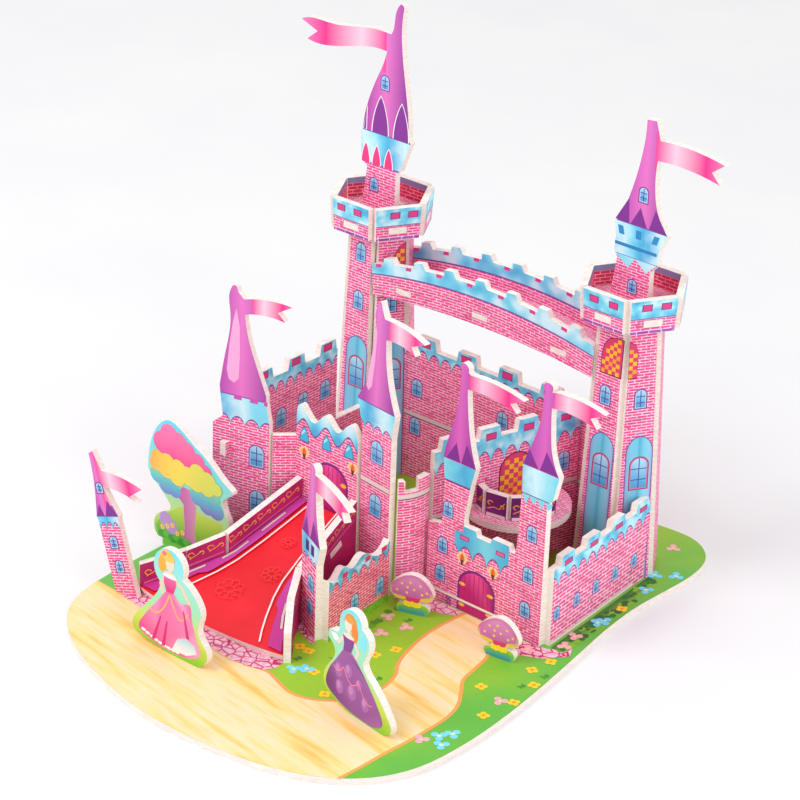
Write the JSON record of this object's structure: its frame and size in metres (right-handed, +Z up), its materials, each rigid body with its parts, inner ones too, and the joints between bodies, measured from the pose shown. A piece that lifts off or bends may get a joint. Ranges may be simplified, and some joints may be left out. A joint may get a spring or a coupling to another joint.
{
  "type": "cardboard castle",
  "caption": "Printed foam-board toy castle of folded and slotted sheets on a wavy base, with tapered hexagonal towers, an arched bridge, ramp, gatehouse, balcony and stand-ups.",
  "frame": {"origin": "bottom centre of the overall bounding box, on the surface the base board lies on", "axes": "+Z up; +X along the gatehouse front, to the right seen from the front; +Y from the front towards the wall between the main towers"},
  "size_m": [0.2238, 0.2593, 0.2142],
  "materials": {
    "balcony_print": "satin",
    "base_print": "satin",
    "bridge_print": "satin",
    "crown_print": "satin",
    "figure_print": "satin",
    "flower_print": "satin",
    "ramp_print": "satin",
    "spire_print": "satin",
    "tower_print": "satin",
    "tree_print": "satin",
    "wall_print": "satin"
  },
  "bodies": {
    "root": {"balcony_floor": "balcony_print", "balcony_rail": "balcony_print", "balcony_wall": "balcony_print", "base_board": "base_print", "bowed_wall": "wall_print", "bridge_floor": "bridge_print", "bridge_front_parapet": "bridge_print", "bridge_rear_parapet": "bridge_print", "courtyard_wall": "wall_print", "flower_stool_left": "flower_print", "flower_stool_right": "flower_print", "gate_spire": "spire_print", "gatehouse_and_side_wall": "wall_print", "leaning_turret": "spire_print", "left_crown_floor": "crown_print", "left_crown_panel_1": "crown_print", "left_crown_panel_2": "crown_print", "left_crown_panel_3": "crown_print", "left_figure": "figure_print", "left_spire": "spire_print", "left_tower_panel_1": "tower_print", "left_tower_panel_2": "tower_print", "left_tower_panel_3": "tower_print", "post_and_front_wall": "wall_print", "ramp_deck": "ramp_print", "ramp_left_wall": "ramp_print", "ramp_right_wall": "ramp_print", "rear_wall": "wall_print", "right_crown_floor": "crown_print", "right_crown_panel_1": "crown_print", "right_crown_panel_2": "crown_print", "right_crown_panel_3": "crown_print", "right_figure": "figure_print", "right_spire": "spire_print", "right_tower_panel_1": "tower_print", "right_tower_panel_2": "tower_print", "right_tower_panel_3": "tower_print", "tree": "tree_print", "wing_and_gate": "wall_print"}
  },
  "joints": []
}
